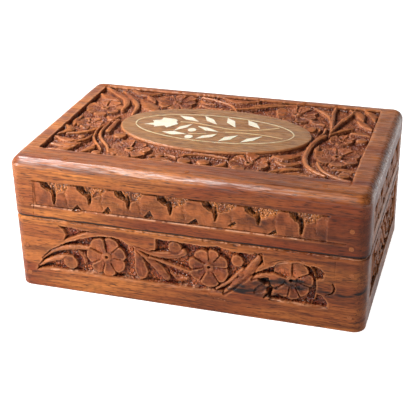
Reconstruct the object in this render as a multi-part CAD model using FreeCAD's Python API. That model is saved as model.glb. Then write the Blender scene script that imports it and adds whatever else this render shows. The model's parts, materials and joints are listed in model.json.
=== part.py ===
import FreeCAD, Part
import math
import os

# Carved hardwood jewelry box with a hinged lid.
# Butt-jointed walls pegged at the corners, a thick carved lid panel with a bone inlay,
# two brass butt hinges let into the back edge, and velvet-covered card linings.
# Millimetres. X runs along the length, Y from front to back, Z up.
# The origin is the middle of the underside.

Vec = FreeCAD.Vector

# Overall box
LENGTH = 150.0
WIDTH = 96.0
HEIGHT = 60.0
SEAM_Z = 33.6
WALL = 10.0
LID_PANEL = 9.0
CORNER_RADIUS = 5.0
TOP_EDGE_RADIUS = 3.8
HALF_L = LENGTH / 2
HALF_W = WIDTH / 2
LID_WALL_TOP = HEIGHT - LID_PANEL

# Bottom panel, held in a rabbet round the foot of the walls
BOTTOM_PANEL = 4.0
RABBET = 5.0

# Carving: each field is sunk below the face and its motifs are left standing
TOP_CARVING_DEPTH = 2.2
SIDE_CARVING_DEPTH = 1.6
TOP_FIELD = (-66.2, 65.0, -34.5, 42.0)
OVAL_CENTRE = (-0.9, 2.4)
OVAL_RADII = (42.3, 22.8)
BASE_FIELD_Z = (9.8, 30.5)
LID_FIELD_TOP = 50.8
END_FIELD_HALF = 36.0
LONG_FIELD_HALF = 63.5

# Bone inlay, flush with the oval
INLAY_DEPTH = 1.2
INLAY_LINE_CENTRE = (-1.5, 3.0)
INLAY_LINE_RADII = (35.4, 14.4)
INLAY_LINE = 0.5
INLAY_STEM = 0.7
INLAY_DOT_RADIUS = 1.8

# Hinges
HINGE_X = 45.0
HINGE_LENGTH = 22.0
KNUCKLE_RADIUS = 1.6
KNUCKLE_GAP = 0.2
HINGE_PIN_RADIUS = 0.75
PIN_HEAD_RADIUS = 1.1
PIN_HEAD_HEIGHT = 0.3
HINGE_BORE_RADIUS = 0.80
LEAF_THICKNESS = 0.9
LEAF_REACH = 8.5
LEAF_FACE_DROP = 0.03
BARREL_CLEARANCE = 0.25
PIVOT_INSET = 1.7
PIVOT_Y = HALF_W - PIVOT_INSET
LID_TRAVEL_DEG = 100.0
BEVEL_DEG = LID_TRAVEL_DEG / 2 + 0.5

# Screws, pegs and nails
SCREW_HEAD_RADIUS = 1.4
SCREW_RADIUS = 0.7
SCREW_LENGTH = 6.0
SCREW_SPREAD = 6.5
SCREW_INSET = 5.4
PEG_RADIUS = 1.0
PEG_LENGTH = 17.0
PANEL_PEG_LENGTH = 16.0
NAIL_RADIUS = 0.6
NAIL_HEAD_RADIUS = 1.2
NAIL_HEAD_HEIGHT = 0.5
NAIL_LENGTH = 12.0

# Linings
LINING = 1.2
FLOOR_PAD = 1.6
LINING_SETBACK = 1.0

# How far a cutting shape reaches past the face that it cuts
OVERCUT = 1.0


# ---------------------------------------------------------------- shape helpers

def block(x_low, x_high, y_low, y_high, z_low, z_high):
    size = (x_high - x_low, y_high - y_low, z_high - z_low)
    return Part.makeBox(*size, Vec(x_low, y_low, z_low))


def prism(edges, low, high):
    """Extrude a closed outline drawn at height zero from low to high."""
    face = Part.Face(Part.Wire(Part.__sortEdges__(edges)))
    face.translate(Vec(0, 0, low))
    return face.extrude(Vec(0, 0, high - low))


def polygon_prism(points, low, high):
    corners = [Vec(x, y, 0) for x, y in points]
    edges = [Part.makeLine(a, b) for a, b in zip(corners, corners[1:] + corners[:1])]
    return prism(edges, low, high)


def leaf_prism(tip_a, tip_b, width, low, high):
    """A pointed leaf: two arcs that meet at its tips."""
    a = Vec(*tip_a, 0)
    b = Vec(*tip_b, 0)
    along = (b - a).normalize()
    side = Vec(-along.y, along.x, 0) * (width / 2)
    middle = (a + b) / 2
    edges = [Part.Arc(a, middle + side, b).toShape(), Part.Arc(b, middle - side, a).toShape()]
    return prism(edges, low, high)


def ribbon_prism(points, width, low, high):
    """A band of even width along a smooth curve through the points."""
    curve = Part.BSplineCurve()
    curve.interpolate([Vec(x, y, 0) for x, y in points])
    left = []
    right = []
    samples = 4 * len(points)
    for step in range(samples + 1):
        at = curve.FirstParameter + (curve.LastParameter - curve.FirstParameter) * step / samples
        tangent = curve.tangent(at)[0]
        side = Vec(-tangent.y, tangent.x, 0) * (width / 2)
        left.append(curve.value(at) + side)
        right.append(curve.value(at) - side)
    left_edge = Part.BSplineCurve()
    left_edge.interpolate(left)
    right_edge = Part.BSplineCurve()
    right_edge.interpolate(right)
    edges = [left_edge.toShape(), Part.makeLine(left[-1], right[-1]),
             right_edge.toShape(), Part.makeLine(right[0], left[0])]
    return prism(edges, low, high)


def oval_prism(centre, radii, low, high):
    ellipse = Part.Ellipse(Vec(*centre, 0), radii[0], radii[1])
    return prism([ellipse.toShape()], low, high)


def flower_prism(centre, radius, petals, low, high):
    """Round petals about a hub."""
    height = high - low
    shape = Part.makeCylinder(radius * 0.45, height, Vec(*centre, low))
    for petal in range(petals):
        turn = 2 * math.pi * petal / petals
        x = centre[0] + radius * 0.62 * math.cos(turn)
        y = centre[1] + radius * 0.62 * math.sin(turn)
        shape = shape.fuse(Part.makeCylinder(radius * 0.38, height, Vec(x, y, low)))
    return shape.removeSplitter()


def sunk_field(left, right, low, high, depth, motifs):
    """The wood that carving takes away: the field less the motifs, drawn as (across, up, out)."""
    field = block(left, right, low, high, -depth, OVERCUT)
    return field.cut(motifs)


def on_side(shape, turn, distance):
    """Place a shape drawn as (across, up, out) on the side that turns from the front."""
    spin = FreeCAD.Rotation(Vec(0, 0, 1), turn)
    upright = FreeCAD.Rotation(Vec(1, 0, 0), 90)
    placed = shape.copy()
    placed.Placement = FreeCAD.Placement(spin.multVec(Vec(0, -distance, 0)), spin * upright)
    return placed


def along_x(radius, x_low, x_high):
    """A cylinder about the hinge axis."""
    start = Vec(x_low, PIVOT_Y, SEAM_Z)
    return Part.makeCylinder(radius, x_high - x_low, start, Vec(1, 0, 0))


# ---------------------------------------------------------------- carving

def base_scroll(half_length, flowers, leaves):
    """Flower and leaf scroll that runs round the base."""
    depth = SIDE_CARVING_DEPTH
    motifs = [flower_prism(centre, radius, 7, -depth, OVERCUT) for centre, radius in flowers]
    motifs += [leaf_prism(tip_a, tip_b, width, -depth, OVERCUT) for tip_a, tip_b, width in leaves]
    return sunk_field(-half_length, half_length, *BASE_FIELD_Z, depth, motifs)


def long_scroll():
    flowers = [((-34.5, 18.9), 8.4), ((11.5, 20.6), 8.6), ((44.5, 19.8), 8.8)]
    leaves = [
        ((-62.0, 12.0), (-43.0, 26.5), 6.5),
        ((-21.0, 28.0), (-16.0, 11.0), 6.0),
        ((-16.5, 25.0), (1.5, 27.5), 5.0),
        ((22.5, 12.0), (33.5, 27.5), 7.0),
        ((54.0, 14.0), (60.5, 24.0), 5.5),
    ]
    return base_scroll(LONG_FIELD_HALF, flowers, leaves)


def end_scroll():
    flowers = [((-17.0, 19.5), 8.4), ((18.0, 20.5), 8.6)]
    leaves = [
        ((-34.0, 12.0), (-27.5, 27.0), 6.0),
        ((-4.5, 12.0), (3.5, 28.0), 6.5),
        ((28.5, 13.0), (34.0, 27.0), 5.5),
    ]
    return base_scroll(END_FIELD_HALF, flowers, leaves)


def dome_gaps(centres):
    """The sunk gaps between a row of stepped domes under the lid's rim."""
    top = LID_FIELD_TOP
    gaps = []
    for x in centres:
        half = [(1.0, top - 7.8), (1.0, top - 3.8), (3.8, top - 3.2), (6.0, top)]
        outline = [(x + across, up) for across, up in half]
        outline += [(x - across, up) for across, up in reversed(half)]
        gaps.append(polygon_prism(outline, -SIDE_CARVING_DEPTH, OVERCUT))
    return Part.makeCompound(gaps)


def top_carving():
    low = -TOP_CARVING_DEPTH
    flowers = [((-57, 19), 8.0), ((-57, -4), 6.5), ((-31, -26), 7.5), ((-33, 33), 7.5),
               ((22, -27), 7.0), ((31, 34), 7.5), ((54, -12), 9.0), ((56, 8), 5.5)]
    leaves = [((-62, -31), (-48, -16), 7), ((-12, -31), (3, -23), 6), ((38, -31), (46, -16), 6),
              ((-62, 30), (-45, 39), 6), ((-14, 31), (10, 37), 6), ((45, 24), (61, 38), 7)]
    stems = [[(-46, -14), (-49, 0), (-47, 14), (-44, 27)],
             [(40, -26), (44, -10), (43, 4), (47, 18), (42, 31)]]
    motifs = [oval_prism(OVAL_CENTRE, OVAL_RADII, low, OVERCUT)]
    motifs += [flower_prism(centre, radius, 6, low, OVERCUT) for centre, radius in flowers]
    motifs += [leaf_prism(tip_a, tip_b, width, low, OVERCUT) for tip_a, tip_b, width in leaves]
    motifs += [ribbon_prism(points, 2.5, low, OVERCUT) for points in stems]
    left, right, front, back = TOP_FIELD
    carving = sunk_field(left, right, front, back, TOP_CARVING_DEPTH, motifs)
    carving.translate(Vec(0, 0, HEIGHT))
    return carving


# ---------------------------------------------------------------- inlay

def inlay_span():
    return HEIGHT - INLAY_DEPTH, HEIGHT


def inlay_oval_line():
    low, high = inlay_span()
    half = INLAY_LINE / 2
    outer = [radius + half for radius in INLAY_LINE_RADII]
    inner = [radius - half for radius in INLAY_LINE_RADII]
    ring = oval_prism(INLAY_LINE_CENTRE, outer, low, high)
    return ring.cut(oval_prism(INLAY_LINE_CENTRE, inner, low, high))


def inlay_polygons(outlines):
    return Part.makeCompound([polygon_prism(points, *inlay_span()) for points in outlines])


def inlay_blossom():
    return inlay_polygons([[
        (-32.7, 0.6), (-28.8, 3.3), (-30.4, 5.6), (-26.8, 7.2), (-26.8, 9.9), (-21.3, 9.4), (-19.7, 8.5),
        (-19.6, 6.1), (-18.2, 4.2), (-19.9, 1.7), (-21.8, -0.7), (-23.5, 1.1), (-27.4, -1.2), (-28.1, 0.8),
    ]])


def inlay_upper_leaves():
    return inlay_polygons([
        [(-20.4, 13.9), (-14.3, 13.3), (-10.2, 9.2), (-16.6, 10.3)],
        [(-9.3, 16.1), (-4.3, 12.8), (-1.6, 8.1), (-7.1, 11.1)],
        [(1.1, 16.3), (5.3, 13.3), (7.2, 6.9), (2.2, 11.1)],
        [(10.6, 15.9), (15.3, 13.0), (17.8, 8.1), (12.0, 11.0)],
    ])


def inlay_lower_leaves():
    return inlay_polygons([
        [(-6.0, -9.7), (-3.8, -5.6), (1.7, -2.4), (0.5, -6.0)],
        [(4.2, -10.0), (5.8, -4.7), (10.8, -1.7), (8.9, -6.7)],
        [(13.6, -8.9), (15.3, -4.4), (21.1, -0.3), (18.3, -5.8)],
    ])


def inlay_bud_petals():
    return inlay_polygons([
        [(-11.8, 6.1), (-13.2, 1.4), (-17.7, -3.6), (-16.6, 1.4)],
        [(-22.1, -5.6), (-17.1, -3.9), (-11.3, -5.6), (-17.1, -7.5)],
        [(-8.8, 3.9), (-3.8, 3.3), (1.5, 0.0), (-4.3, 0.3)],
    ])


def inlay_upper_stem():
    points = [(-18, 7), (-8, 6.8), (0, 5), (12, 4.2), (20, 7), (26, 10.6)]
    return ribbon_prism(points, INLAY_STEM, *inlay_span())


def inlay_lower_stem():
    runs = [[(-10.5, -5), (-7, -4.2), (-3, -3)], [(4.5, 0.2), (12, 1.2), (22, 0.8), (30, -0.5)]]
    return Part.makeCompound([ribbon_prism(points, INLAY_STEM, *inlay_span()) for points in runs])


def inlay_dots():
    low = HEIGHT - INLAY_DEPTH
    centres = [(-10.2, -0.6), (-9.3, -8.1)]
    dots = [Part.makeCylinder(INLAY_DOT_RADIUS, INLAY_DEPTH, Vec(x, y, low)) for x, y in centres]
    return Part.makeCompound(dots)


def inlay_pieces():
    return {
        "inlay_oval_line": inlay_oval_line(),
        "inlay_blossom": inlay_blossom(),
        "inlay_upper_leaves": inlay_upper_leaves(),
        "inlay_lower_leaves": inlay_lower_leaves(),
        "inlay_bud_petals": inlay_bud_petals(),
        "inlay_upper_stem": inlay_upper_stem(),
        "inlay_lower_stem": inlay_lower_stem(),
        "inlay_dots": inlay_dots(),
    }


# ---------------------------------------------------------------- fasteners

def pegs_through_long_sides(front_points):
    """Wooden pegs driven through the long walls into the end walls' end grain, front and back."""
    pegs = []
    for x, z in front_points:
        pegs.append(Part.makeCylinder(PEG_RADIUS, PEG_LENGTH, Vec(x, -HALF_W, z), Vec(0, 1, 0)))
        pegs.append(Part.makeCylinder(PEG_RADIUS, PEG_LENGTH, Vec(x, HALF_W, z), Vec(0, -1, 0)))
    return Part.makeCompound(pegs)


def lid_panel_pegs():
    """Pegs driven down through the lid panel's rim into the long walls."""
    spots = [(-51.0, -42.5), (1.0, -42.0), (56.0, -41.0), (-30.0, 43.1), (30.0, 43.1)]
    down = Vec(0, 0, -1)
    pegs = [Part.makeCylinder(PEG_RADIUS, PANEL_PEG_LENGTH, Vec(x, y, HEIGHT), down) for x, y in spots]
    return Part.makeCompound(pegs)


def bottom_nails():
    """Headed nails driven up through the bottom panel's edge into the rabbet."""
    x_end = HALF_L - WALL + RABBET / 2
    y_side = HALF_W - WALL + RABBET / 2
    spots = [(-x_end, 0), (x_end, 0)]
    spots += [(x, y) for x in (-45, 0, 45) for y in (-y_side, y_side)]
    nails = []
    for x, y in spots:
        shank = Part.makeCylinder(NAIL_RADIUS, NAIL_LENGTH, Vec(x, y, 0))
        head = Part.makeCylinder(NAIL_HEAD_RADIUS, NAIL_HEAD_HEIGHT, Vec(x, y, 0))
        nails.append(shank.fuse(head))
    return Part.makeCompound(nails)


# ---------------------------------------------------------------- hinges

def knuckle_spans(x_centre):
    """The three knuckles along the pin, as (low, high), with the middle one last."""
    third = HINGE_LENGTH / 3
    start = x_centre - HINGE_LENGTH / 2
    outer_left = (start, start + third - KNUCKLE_GAP)
    outer_right = (start + 2 * third + KNUCKLE_GAP, start + HINGE_LENGTH)
    middle = (start + third, start + 2 * third)
    return outer_left, outer_right, middle


def leaf(x_centre, own_spans, other_spans, side):
    """One hinge leaf. side is -1 for the base's leaf and +1 for the lid's."""
    near = SEAM_Z + side * LEAF_FACE_DROP
    far = SEAM_Z + side * LEAF_THICKNESS
    z_low, z_high = sorted((near, far))
    half = HINGE_LENGTH / 2
    shape = block(x_centre - half, x_centre + half, PIVOT_Y - LEAF_REACH, PIVOT_Y, z_low, z_high)
    for low, high in other_spans:
        shape = shape.cut(along_x(KNUCKLE_RADIUS + BARREL_CLEARANCE, low - KNUCKLE_GAP, high + KNUCKLE_GAP))
    for low, high in own_spans:
        shape = shape.fuse(along_x(KNUCKLE_RADIUS, low, high))
    shape = shape.cut(along_x(HINGE_BORE_RADIUS, x_centre - half - OVERCUT, x_centre + half + OVERCUT))
    return shape.cut(hinge_screws(x_centre, side)).removeSplitter()


def hinge_screws(x_centre, side):
    """Two countersunk screws through a leaf. They run down from the base's leaf, up from the lid's."""
    screws = []
    face_z = SEAM_Z + side * LEAF_FACE_DROP
    way = Vec(0, 0, side)
    sink = SCREW_HEAD_RADIUS - SCREW_RADIUS
    for x in (x_centre - SCREW_SPREAD, x_centre + SCREW_SPREAD):
        at = Vec(x, PIVOT_Y - SCREW_INSET, face_z)
        head = Part.makeCone(SCREW_HEAD_RADIUS, SCREW_RADIUS, sink, at, way)
        shank = Part.makeCylinder(SCREW_RADIUS, SCREW_LENGTH, at, way)
        screws.append(head.fuse(shank).removeSplitter())
    return Part.makeCompound(screws)


def hinge_pin(x_centre):
    """A pin with a flattened head at each end."""
    low = x_centre - HINGE_LENGTH / 2
    high = x_centre + HINGE_LENGTH / 2
    pin = along_x(HINGE_PIN_RADIUS, low, high)
    pin = pin.fuse(along_x(PIN_HEAD_RADIUS, low - PIN_HEAD_HEIGHT, low))
    pin = pin.fuse(along_x(PIN_HEAD_RADIUS, high, high + PIN_HEAD_HEIGHT))
    return pin.removeSplitter()


def hinge_pieces(name, x_centre):
    outer_left, outer_right, middle = knuckle_spans(x_centre)
    outer = [outer_left, outer_right]
    return {
        name + "_base_leaf": leaf(x_centre, outer, [middle], -1),
        name + "_lid_leaf": leaf(x_centre, [middle], outer, 1),
        name + "_pin": hinge_pin(x_centre),
        name + "_base_screws": hinge_screws(x_centre, -1),
        name + "_lid_screws": hinge_screws(x_centre, 1),
    }


def hinge_mortise(x_centre, side):
    """Room in a back wall for one leaf, its screws and the whole barrel."""
    half = HINGE_LENGTH / 2
    z_low, z_high = sorted((SEAM_Z - side * OVERCUT, SEAM_Z + side * LEAF_THICKNESS))
    room = block(x_centre - half, x_centre + half, PIVOT_Y - LEAF_REACH, PIVOT_Y, z_low, z_high)
    end = half + PIN_HEAD_HEIGHT + KNUCKLE_GAP
    barrel = along_x(KNUCKLE_RADIUS + BARREL_CLEARANCE, x_centre - end, x_centre + end)
    return room.fuse(barrel).fuse(hinge_screws(x_centre, side))


def stop_bevel(side):
    """The wedge taken off behind the hinge axis. The two bevels meet and stop the open lid."""
    drop = (PIVOT_INSET + OVERCUT) * math.tan(math.radians(BEVEL_DEG))
    pivot = Vec(-HALF_L - OVERCUT, PIVOT_Y, SEAM_Z)
    outer = pivot + Vec(0, PIVOT_INSET + OVERCUT, 0)
    far = outer + Vec(0, 0, side * drop)
    face = Part.Face(Part.makePolygon([pivot, outer, far, pivot]))
    return face.extrude(Vec(LENGTH + 2 * OVERCUT, 0, 0))


# ---------------------------------------------------------------- walls and panels

def long_wall(turn, z_low, z_high, carving):
    """A front or back wall over the full length, with rounded vertical corners."""
    wall = block(-HALF_L, HALF_L, -HALF_W, -HALF_W + WALL, z_low, z_high)
    corners = [edge for edge in wall.Edges
               if edge.BoundBox.ZLength > z_high - z_low - 1e-6 and edge.CenterOfMass.y < -HALF_W + 1e-6]
    wall = wall.makeFillet(CORNER_RADIUS, corners)
    wall.rotate(Vec(0, 0, 0), Vec(0, 0, 1), turn)
    return wall.cut(on_side(carving, turn, HALF_W))


def end_wall(turn, z_low, z_high, carving):
    """A left or right wall that fits between the long walls."""
    reach = HALF_W - WALL
    wall = block(-reach, reach, -HALF_L, -HALF_L + WALL, z_low, z_high)
    wall.rotate(Vec(0, 0, 0), Vec(0, 0, 1), turn)
    return wall.cut(on_side(carving, turn, HALF_L))


def base_bottom_panel():
    x = HALF_L - WALL + RABBET
    y = HALF_W - WALL + RABBET
    return block(-x, x, -y, y, 0, BOTTOM_PANEL)


def lid_top_panel():
    panel = block(-HALF_L, HALF_L, -HALF_W, HALF_W, LID_WALL_TOP, HEIGHT)
    upright = [edge for edge in panel.Edges if edge.BoundBox.ZLength > LID_PANEL - 1e-6]
    panel = panel.makeFillet(CORNER_RADIUS, upright)
    upper = [edge for edge in panel.Edges if edge.BoundBox.ZMin > HEIGHT - 1e-6]
    panel = panel.makeFillet(TOP_EDGE_RADIUS, upper)
    return panel.cut(top_carving())


def base_walls():
    bottom = base_bottom_panel()
    walls = {
        "base_front_wall": long_wall(0, 0, SEAM_Z, long_scroll()),
        "base_back_wall": long_wall(180, 0, SEAM_Z, long_scroll()).cut(stop_bevel(-1)),
        "base_left_wall": end_wall(270, 0, SEAM_Z, end_scroll()),
        "base_right_wall": end_wall(90, 0, SEAM_Z, end_scroll()),
    }
    return {name: wall.cut(bottom) for name, wall in walls.items()}


def lid_walls():
    long_gaps = [-55.5, -39.5, -22.5, -4.7, 14.0, 31.5, 48.5]
    end_gaps = [-29.0, -14.0, 1.0, 16.0, 31.0]
    low, high = SEAM_Z, LID_WALL_TOP
    return {
        "lid_front_wall": long_wall(0, low, high, dome_gaps(long_gaps)),
        "lid_back_wall": long_wall(180, low, high, dome_gaps(long_gaps)).cut(stop_bevel(1)),
        "lid_left_wall": end_wall(270, low, high, dome_gaps(end_gaps)),
        "lid_right_wall": end_wall(90, low, high, dome_gaps(end_gaps)),
    }


# ---------------------------------------------------------------- linings

def wall_linings(prefix, z_low, z_high):
    """Velvet-covered card on the four inner faces. The end pieces fit between the long ones."""
    x = HALF_L - WALL
    y = HALF_W - WALL
    y_end = y - LINING
    return {
        prefix + "_front_lining": block(-x, x, -y, -y_end, z_low, z_high),
        prefix + "_back_lining": block(-x, x, y_end, y, z_low, z_high),
        prefix + "_left_lining": block(-x, -x + LINING, -y_end, y_end, z_low, z_high),
        prefix + "_right_lining": block(x - LINING, x, -y_end, y_end, z_low, z_high),
    }


def linings():
    x = HALF_L - WALL
    y = HALF_W - WALL
    floor_top = BOTTOM_PANEL + FLOOR_PAD
    ceiling = LID_WALL_TOP - FLOOR_PAD
    pieces = {
        "base_floor_lining": block(-x, x, -y, y, BOTTOM_PANEL, floor_top),
        "lid_ceiling_lining": block(-x, x, -y, y, ceiling, LID_WALL_TOP),
    }
    pieces.update(wall_linings("base", floor_top, SEAM_Z - LINING_SETBACK))
    pieces.update(wall_linings("lid", SEAM_Z + LINING_SETBACK, ceiling))
    return pieces


# ---------------------------------------------------------------- assembly

def cut_from(pieces, names, tools):
    for name in names:
        pieces[name] = pieces[name].cut(tools)


def build():
    pieces = {}
    pieces.update(base_walls())
    pieces.update(lid_walls())
    pieces["base_bottom_panel"] = base_bottom_panel()
    pieces["lid_top_panel"] = lid_top_panel()

    inlays = inlay_pieces()
    cut_from(pieces, ["lid_top_panel"], list(inlays.values()))
    pieces.update(inlays)

    base_pegs = pegs_through_long_sides([(69.0, 26.1), (69.0, 7.0), (-70.0, 20.0), (-70.0, 6.5)])
    lid_pegs = pegs_through_long_sides([(68.3, 45.4), (68.3, 37.8), (-70.0, 42.0)])
    panel_pegs = lid_panel_pegs()
    nails = bottom_nails()
    base_wall_names = ["base_front_wall", "base_back_wall", "base_left_wall", "base_right_wall"]
    lid_wall_names = ["lid_front_wall", "lid_back_wall", "lid_left_wall", "lid_right_wall"]
    cut_from(pieces, base_wall_names, [base_pegs, nails])
    cut_from(pieces, ["base_bottom_panel"], [nails])
    cut_from(pieces, lid_wall_names, [lid_pegs, panel_pegs])
    cut_from(pieces, ["lid_top_panel"], [panel_pegs])
    pieces["base_corner_pegs"] = base_pegs
    pieces["lid_corner_pegs"] = lid_pegs
    pieces["lid_panel_pegs"] = panel_pegs
    pieces["base_bottom_nails"] = nails

    for name, x_centre in (("hinge_left", -HINGE_X), ("hinge_right", HINGE_X)):
        pieces.update(hinge_pieces(name, x_centre))
        cut_from(pieces, ["base_back_wall"], [hinge_mortise(x_centre, -1)])
        cut_from(pieces, ["lid_back_wall"], [hinge_mortise(x_centre, 1)])

    pieces.update(linings())
    return pieces


os.makedirs("parts", exist_ok=True)
for node, shape in build().items():
    shape.exportStep("parts/" + node + ".step")
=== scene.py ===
import json
import math

import bmesh
import bpy
import numpy as np
from mathutils import Matrix, Vector

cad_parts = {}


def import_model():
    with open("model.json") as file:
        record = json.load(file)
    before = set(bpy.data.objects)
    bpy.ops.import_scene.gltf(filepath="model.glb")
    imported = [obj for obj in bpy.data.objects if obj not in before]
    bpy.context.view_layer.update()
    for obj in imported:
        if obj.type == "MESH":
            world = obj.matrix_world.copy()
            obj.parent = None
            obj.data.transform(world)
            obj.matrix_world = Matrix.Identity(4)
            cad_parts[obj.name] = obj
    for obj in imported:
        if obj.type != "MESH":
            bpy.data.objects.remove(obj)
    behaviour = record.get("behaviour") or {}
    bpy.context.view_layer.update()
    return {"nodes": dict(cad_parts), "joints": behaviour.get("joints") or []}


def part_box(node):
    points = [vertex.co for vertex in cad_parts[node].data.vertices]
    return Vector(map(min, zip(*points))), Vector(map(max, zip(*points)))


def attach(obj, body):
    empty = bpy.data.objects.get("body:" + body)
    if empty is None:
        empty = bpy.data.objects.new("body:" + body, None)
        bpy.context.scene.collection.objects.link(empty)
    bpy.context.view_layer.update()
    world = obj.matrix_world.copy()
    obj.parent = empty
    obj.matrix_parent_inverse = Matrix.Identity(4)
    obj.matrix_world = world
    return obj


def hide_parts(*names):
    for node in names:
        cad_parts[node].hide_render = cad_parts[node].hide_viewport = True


# Looks of the carved hardwood jewelry box. Blender works in metres. Carving is drawn in
# millimetres on the face that it is cut into, as (across, up), and turned into metres at the end.

MM = 0.001

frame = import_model()


# ---------------- sizes read from the frame

def box_mm(node):
    low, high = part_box(node)
    return np.array(low) / MM, np.array(high) / MM


PANEL_LOW, PANEL_HIGH = box_mm("lid_top_panel")
WALL_LOW, WALL_HIGH = box_mm("base_front_wall")
HALF_L, HALF_W, TOP_Z = PANEL_HIGH
SEAM_Z = WALL_HIGH[2]
LID_WALL_TOP = box_mm("lid_front_wall")[1][2]
WALL = WALL_HIGH[1] - WALL_LOW[1]
END_HALF = box_mm("base_right_wall")[1][1]
PIVOT = Vector(frame["joints"][0]["pos_m"]) / MM

# ---------------- sizes chosen here, in mm

CORNER_RADIUS = 5.0
BEVEL_DEG = 50.5       # each back bevel's slope: half of the lid's travel, and half a degree
BEVEL_RUN = HALF_W - PIVOT.y
BEVEL_RISE = BEVEL_RUN * math.tan(math.radians(BEVEL_DEG))
PROUD = 0.05           # pegs and inlay stand this much above the sanded wood
BASE_DEPTH, LID_DEPTH, TOP_DEPTH = 2.3, 1.4, 1.8   # depth of the carving
WALL_STEP, TOP_STEP = 0.27, 0.4                    # spacing of the carved grids
PLAIN_STEP = 1.2                                   # spacing of the lid panel's grid where it is plain
TOP_SEED = 11
EDGE_RADIUS = 3.8      # of the lid panel's plain edges
FRONT_RUN, FRONT_DROP = 3.0, 3.2                   # of the glossy bevel along its front
OVAL = (-0.9, 2.4, 42.3, 22.8)                     # the flat oval: its middle and its two radii


# ---------------- numbers on grids

CELLS = 256            # cells along each side of a noise, before it repeats


def smooth(t):
    t = np.clip(t, 0, 1)
    return t * t * (3 - 2 * t)


def noise(u, v, cell_u, cell_v, seed):
    """Smooth noise from -1 to 1, with its own cell size along each axis."""
    lattice = np.random.default_rng(seed).uniform(-1, 1, (CELLS, CELLS))
    a, b = u / cell_u + CELLS / 2, v / cell_v + CELLS / 2
    i, j = np.floor(a).astype(int), np.floor(b).astype(int)
    s, t = smooth(a - i), smooth(b - j)

    def row(k):
        return lattice[i % CELLS, k % CELLS] * (1 - s) + lattice[(i + 1) % CELLS, k % CELLS] * s
    return row(j) * (1 - t) + row(j + 1) * t


def pits(u, v, cell_u, cell_v, radius, seed):
    """Punch marks from 0 to 1: one in each cell, off its middle by chance."""
    rng = np.random.default_rng(seed)
    off_u = rng.uniform(-0.3, 0.3, (CELLS, CELLS))
    off_v = rng.uniform(-0.3, 0.3, (CELLS, CELLS))
    deep = rng.uniform(0.5, 1, (CELLS, CELLS))
    i, j = np.floor(u / cell_u).astype(int), np.floor(v / cell_v).astype(int)
    marks = np.zeros(u.shape)
    for di in (-1, 0, 1):
        for dj in (-1, 0, 1):
            a, b = (i + di) % CELLS, (j + dj) % CELLS
            du = u / cell_u - (i + di + 0.5 + off_u[a, b])
            dv = v / cell_v - (j + dj + 0.5 + off_v[a, b])
            marks = np.maximum(marks, deep[a, b] * np.exp(-(du ** 2 + dv ** 2) / radius ** 2))
    return marks


def blurred(h, steps):
    """A box blur of h over a few grid steps each way."""
    n = 2 * steps + 1
    for axis in (0, 1):
        padded = np.concatenate([h.take([0] * (steps + 1), axis), h, h.take([-1] * steps, axis)], axis)
        total = padded.cumsum(axis)
        size = total.shape[axis]
        h = (total.take(range(n, size), axis) - total.take(range(size - n), axis)) / n
    return h


def spline(points, step=0.8):
    """A smooth line through points of any number of values, as rows about step apart."""
    p = np.array(points, float)
    if len(p) < 3:
        return p
    p = np.vstack([2 * p[0] - p[1], p, 2 * p[-1] - p[-2]])
    rows = []
    for a, b, c, d in zip(p[:-3], p[1:-2], p[2:-1], p[3:]):
        n = max(2, int(np.hypot(*(c - b)[:2]) / step))
        for t in np.arange(n) / n:
            rows.append(0.5 * (2 * b + (c - a) * t + (2 * a - 5 * b + 4 * c - d) * t * t
                               + (3 * b - a - 3 * c + d) * t ** 3))
    rows.append(p[-2])
    return np.array(rows)


def along_line(u, v, a, b):
    """For each point (u, v): the nearest place on the line from a to b, as a share, and the way from it."""
    du, dv = b[0] - a[0], b[1] - a[1]
    t = np.clip(((u - a[0]) * du + (v - a[1]) * dv) / (du * du + dv * dv + 1e-12), 0, 1)
    return t, u - a[0] - t * du, v - a[1] - t * dv


# ---------------- carving tools

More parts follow.
